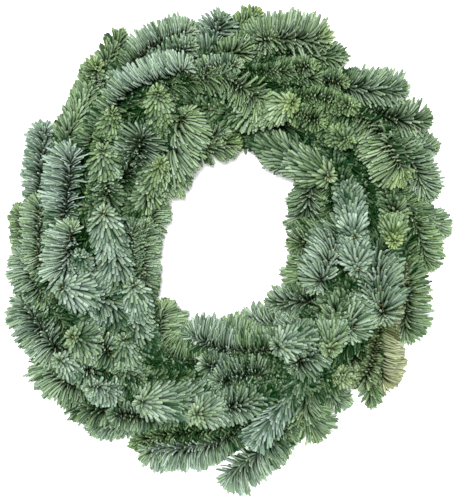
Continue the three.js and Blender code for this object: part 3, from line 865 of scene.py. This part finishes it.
CORE_DEPTH, CORE_RINGS, CORE_SIDES = 2.4, 96, 24
THREAD_RADIUS, THREAD_DEPTH = 0.35, 0.15
THREAD_TURNS, THREAD_STEPS = 56, 36
THREAD_DENT, THREAD_DENT_WIDTH = 0.7, 1.6
GROOVE_DEPTH, GROOVE_WIDTH = 1.8, 1.9  # of the wire's groove in the flat back
BACK_BELOW = 4  # a stalk that is lower than this lies on the back
STRAW_BACK = 0.05  # height of the straw's lowest points


def section_outline():
    """The corners of the straw's section, closed: across from the ring's middle, and up."""
    lanes = [lane for row in LANES.values() for lane in row]
    over = np.radians([*lanes, 180])
    dome = np.stack([RING_HALF_WIDTH * np.cos(over), RING_SHOULDER + RING_CROWN * np.sin(over)], -1)
    side = RING_HALF_WIDTH, RING_SHOULDER / 2
    back = RING_BACK_HALF, 0
    return np.array([back, side, *dome, (-side[0], side[1]), (-back[0], 0), back], float)


OUTLINE = section_outline()
RUNS = np.concatenate([[0], np.cumsum(np.linalg.norm(np.diff(OUTLINE, axis=0), axis=1))])
GIRTH = RUNS[-1]


def outline_at(run):
    return np.stack([np.interp(run % GIRTH, RUNS, OUTLINE[:, k]) for k in range(2)], -1)


def on_straw(around, run, depth):
    """Points run mm round the section and depth mm inside it, with the ways along the outline and
    out of it. around is in degrees round the ring."""
    tangent = unit(outline_at(run + 2) - outline_at(run - 2))
    outward = np.stack([tangent[..., 1], -tangent[..., 0]], -1)
    place = outline_at(run) - outward * np.asarray(depth)[..., None]
    a = np.radians(around)

    def turned(v, from_middle=0):
        radius = v[..., 0] + from_middle
        return np.stack([radius * np.cos(a), radius * np.sin(a), v[..., 1]], -1)

    return turned(place, RING_RADIUS), turned(tangent), turned(outward)


def polar(radius, around, z):
    a = math.radians(around)
    return np.array([radius * math.cos(a), radius * math.sin(a), z])


def back_ends(turn):
    """The two ends of the wire's straight stretch across the back."""
    reach = RING_BACK_HALF + 2
    return (polar(RING_RADIUS - reach, turn * TURN_ANGLE, WIRE_BACK),
            polar(RING_RADIUS + reach, (turn + 1) * TURN_ANGLE, WIRE_BACK))


def to_wire_on_back(points):
    """The distance, seen from below, from each point to the nearest crossing of the wire."""
    nearest = np.full(len(points), 1e9)
    for turn in range(WIRE_TURNS):
        inner, outer = (end[:2] for end in back_ends(turn))
        way = unit(outer - inner)
        off = points[:, :2] - inner
        along = np.clip(off @ way, 0, np.linalg.norm(outer - inner))
        nearest = np.minimum(nearest, np.linalg.norm(off - along[:, None] * way, axis=1))
    return nearest


def add_stalk(soup, rng, run, around, length):
    """One flattened stalk, dented where thread and wire cross it."""
    count = int(length / STALK_STEP)
    s = np.linspace(0, length, count)
    angles = around + np.degrees(s / RING_RADIUS)
    runs = run + WANDER * wave(rng, s, rng.uniform(*WANDER_LENGTHS))
    pitch = 2 * np.pi * RING_RADIUS / THREAD_TURNS
    crossing = angles / 360 * THREAD_TURNS - (runs % GIRTH) / GIRTH
    off_thread = np.abs(crossing - np.round(crossing)) * pitch
    dent = THREAD_DENT * np.exp(-(off_thread / THREAD_DENT_WIDTH) ** 2)
    sunk = SINKING * (1 + wave(rng, s, rng.uniform(*SINKING_LENGTHS)))
    centres, tangent, outward = on_straw(angles, runs, STALK_HALF_THICKNESS + COVER + dent + sunk)
    groove = GROOVE_DEPTH * np.exp(-(to_wire_on_back(centres) / GROOVE_WIDTH) ** 2)
    centres[:, 2] += np.where(centres[:, 2] < BACK_BELOW, groove, 0)
    ends = smooth(0, STALK_ROUNDING, s) * smooth(0, STALK_ROUNDING, length - s)
    size = up_from(STALK_END_SIZE, ends) * rng.uniform(*STALK_SIZES)
    across = tangent * (STALK_HALF_WIDTH * size)[:, None]
    up = outward * (STALK_HALF_THICKNESS * size)[:, None]
    points = centres[:, None] + STALK_SECTION[:, :1] * across[:, None]
    points = (points + STALK_SECTION[:, 1:] * up[:, None]).reshape(-1, 3)
    points[:, 2] = np.maximum(points[:, 2], STRAW_BACK)

    sides = len(STALK_SECTION)
    quads, uvs = rings_to_quads(count, sides)
    for first, bottom in ((0, 0.0), ((count - 1) * sides, 1 - END_HEIGHT)):
        for cap, left in STALK_CAPS:
            corners = [first + corner for corner in cap]
            quads.append(corners if first else corners[::-1])
            uvs.append(rectangle(left, left + STALK_CAP_WIDTH, bottom, bottom + END_HEIGHT))
    tone = np.full(len(points), rng.uniform(0, 1))
    uvs = cell_uvs(np.array(uvs), soup.cells, 1)
    soup.add(points, np.array(quads), uvs, STALK_SLOT, tone=tone)


def add_core(soup):
    """The inside of the ring under the stalks, one smooth tube closed on itself, dark with painted
    shade.
    """
    angles = np.repeat(np.arange(CORE_RINGS) * 360 / CORE_RINGS, CORE_SIDES)
    runs = np.tile(np.arange(CORE_SIDES) * GIRTH / CORE_SIDES, CORE_RINGS)
    points = on_straw(angles, runs, np.full(len(runs), CORE_DEPTH))[0]
    quads, uvs = [], []
    for r in range(CORE_RINGS):
        here, ahead = r * CORE_SIDES, (r + 1) % CORE_RINGS * CORE_SIDES
        for k in range(CORE_SIDES):
            n = (k + 1) % CORE_SIDES
            quads.append([here + k, ahead + k, ahead + n, here + n])
            uvs.append(rectangle(r / CORE_RINGS, (r + 1) / CORE_RINGS,
                                 k / CORE_SIDES, (k + 1) / CORE_SIDES))
    soup.add(points, np.array(quads), cell_uvs(np.array(uvs), soup.cells, 1), CORE_SLOT)


def make_straw():
    rng = np.random.default_rng(11)
    soup = Soup()
    places = int(GIRTH / STALK_PITCH)
    for place in range(places):
        run = (place + rng.uniform(-STALK_STRAY, STALK_STRAY)) * GIRTH / places
        around = rng.uniform(0, 360)
        covered = 0
        while covered < 360:
            length = rng.uniform(*STALK_LENGTHS)
            add_stalk(soup, rng, run, around + covered, length)
            covered += math.degrees((length - STALK_OVERLAP) / RING_RADIUS)
    add_core(soup)
    t = np.arange(THREAD_TURNS * THREAD_STEPS + 1) / THREAD_STEPS
    thread = on_straw(t * 360 / THREAD_TURNS, t * GIRTH, np.full(len(t), THREAD_DEPTH))[0]
    thread[:, 2] = np.maximum(thread[:, 2], THREAD_RADIUS + STRAW_BACK)
    add_tube(soup, thread, THREAD_RADIUS, THREAD_SLOT, sides=6, cells=THREAD_TURNS)
    materials = straw_material(), straw_core_shade_material(), thread_material()
    make_piece("straw_ring_bound", soup, materials, "straw_ring")


def straw_material():
    material, shader = new_material("bound_straw", 0.6, 0.35)
    n = Nodes(material)
    # stalk colours darker than fresh straw: their own tone and painted shade, as the straw lies
    # deep under the sprigs
    stalk = n.mix(n.value("tone"), (0.20, 0.13, 0.045), (0.52, 0.40, 0.19))
    fleck = n.span(n.noise(220.0, 5.0, 0.7), 0.5, 0.75)
    n.put(shader.inputs["Base Color"], n.mix(fleck, stalk, (0.15, 0.10, 0.04)))
    n.put(shader.inputs["Normal"], n.bump(n.noise(600.0, 3.0), 0.3, 0.0005))
    return material


def straw_core_shade_material():
    material, shader = new_material("straw_inside_painted_shade", 0.9, 0.2)
    n = Nodes(material)
    # near black: painted shade for the gaps between the stalks
    n.put(shader.inputs["Base Color"],
          n.mix(n.noise(300.0, 4.0, 0.7), (0.03, 0.02, 0.01), (0.12, 0.085, 0.035)))
    return material


def thread_material():
    material, shader = new_material("straw_thread", 0.7, 0.3)
    n = Nodes(material)
    n.put(shader.inputs["Base Color"],
          n.mix(n.noise(500.0), (0.30, 0.25, 0.16), (0.45, 0.39, 0.27)))
    return material


make_straw()


# ---- binding wire ----
WIRE_KNEE = (RING_HALF_WIDTH + 3, 3)  # from the ring's middle, and up
WIRE_OVER = (0, 30, 60, 90, 120, 150, 180)  # degrees over the straw
WIRE_ROUNDING = 4  # points of the round wire from one corner of its path to the next


def wire_path():
    points = []
    for turn in range(WIRE_TURNS):
        here = turn * TURN_ANGLE
        points += [over_straw(here, over, WIRE_LIFT) for over in WIRE_OVER]
        points.append(polar(RING_RADIUS - WIRE_KNEE[0], here, WIRE_KNEE[1]))
        points += back_ends(turn)
        points.append(polar(RING_RADIUS + WIRE_KNEE[0], here + TURN_ANGLE, WIRE_KNEE[1]))
    return points[:-1]


def wire_material():
    material, shader = new_material("green_lacquered_wire", 0.35, 0.5)
    n = Nodes(material)
    worn = n.span(n.noise(500.0, 4.0, 0.7), 0.62, 0.7)
    n.put(shader.inputs["Base Color"], n.mix(worn, (0.02, 0.06, 0.03), (0.25, 0.25, 0.22)))
    n.put(shader.inputs["Metallic"], worn)
    return material


def make_wire():
    soup = Soup()
    path = Line(wire_path())
    corners = len(path.points) - 1
    centres = np.array([path.at(i / WIRE_ROUNDING) for i in range(corners * WIRE_ROUNDING + 1)])
    centres[:, 2] = np.maximum(centres[:, 2], WIRE_BACK)
    add_tube(soup, centres, WIRE_RADIUS, 0, sides=10, cells=WIRE_TURNS)
    make_piece("binding_wire_wound", soup, (wire_material(),), "binding_wire")


make_wire()

# ---- floor, light and camera, in metres ----
FLOOR_SIZE = 6.0
bpy.ops.mesh.primitive_plane_add(size=FLOOR_SIZE, location=(0, 0, 0))
floor = bpy.context.object
floor.name = "floor"
paint, floor_shader = new_material("pale_floor", 0.9, 0.2)
floor_shader.inputs["Base Color"].default_value = (0.93, 0.93, 0.93, 1)
floor_shader.inputs["Emission Color"].default_value = (1, 1, 1, 1)
floor_shader.inputs["Emission Strength"].default_value = 0.3
floor.data.materials.append(paint)

world = bpy.data.worlds.new("studio")
world.use_nodes = True
background = world.node_tree.nodes["Background"]
background.inputs["Color"].default_value = (0.97, 0.985, 1.0, 1)
background.inputs["Strength"].default_value = 0.15
bpy.context.scene.world = world


def add_sun(name, direction, strength, angle):
    light = bpy.data.lights.new(name, "SUN")
    light.energy, light.angle = strength, math.radians(angle)
    lamp = bpy.data.objects.new(name, light)
    lamp.rotation_mode = "QUATERNION"
    lamp.rotation_quaternion = Vector(direction).to_track_quat("Z", "Y")
    bpy.context.scene.collection.objects.link(lamp)


add_sun("key_light", direction=(-0.03, 0.06, 1.0), strength=5.85, angle=8)
add_sun("fill_light", direction=(0.05, -0.05, 1.0), strength=0.9, angle=75)

IMAGE_HEIGHT = 499  # pixels
PIXEL = 0.0009  # at the wreath's middle height
VIEW_HEIGHT = IMAGE_HEIGHT * PIXEL
VIEW_MIDDLE = (-0.00444, -0.00349, 0.05)
CAMERA_DISTANCE = 2.0
SENSOR = 36  # millimetres
data = bpy.data.cameras.new("camera")
data.sensor_fit = "VERTICAL"
data.sensor_height = data.sensor_width = SENSOR
data.lens = SENSOR * CAMERA_DISTANCE / VIEW_HEIGHT
camera = bpy.data.objects.new("camera", data)
camera.location = (*VIEW_MIDDLE[:2], VIEW_MIDDLE[2] + CAMERA_DISTANCE)
bpy.context.scene.collection.objects.link(camera)
bpy.context.scene.camera = camera
viewing = bpy.context.scene.view_settings
viewing.view_transform, viewing.look = "Standard", "None"
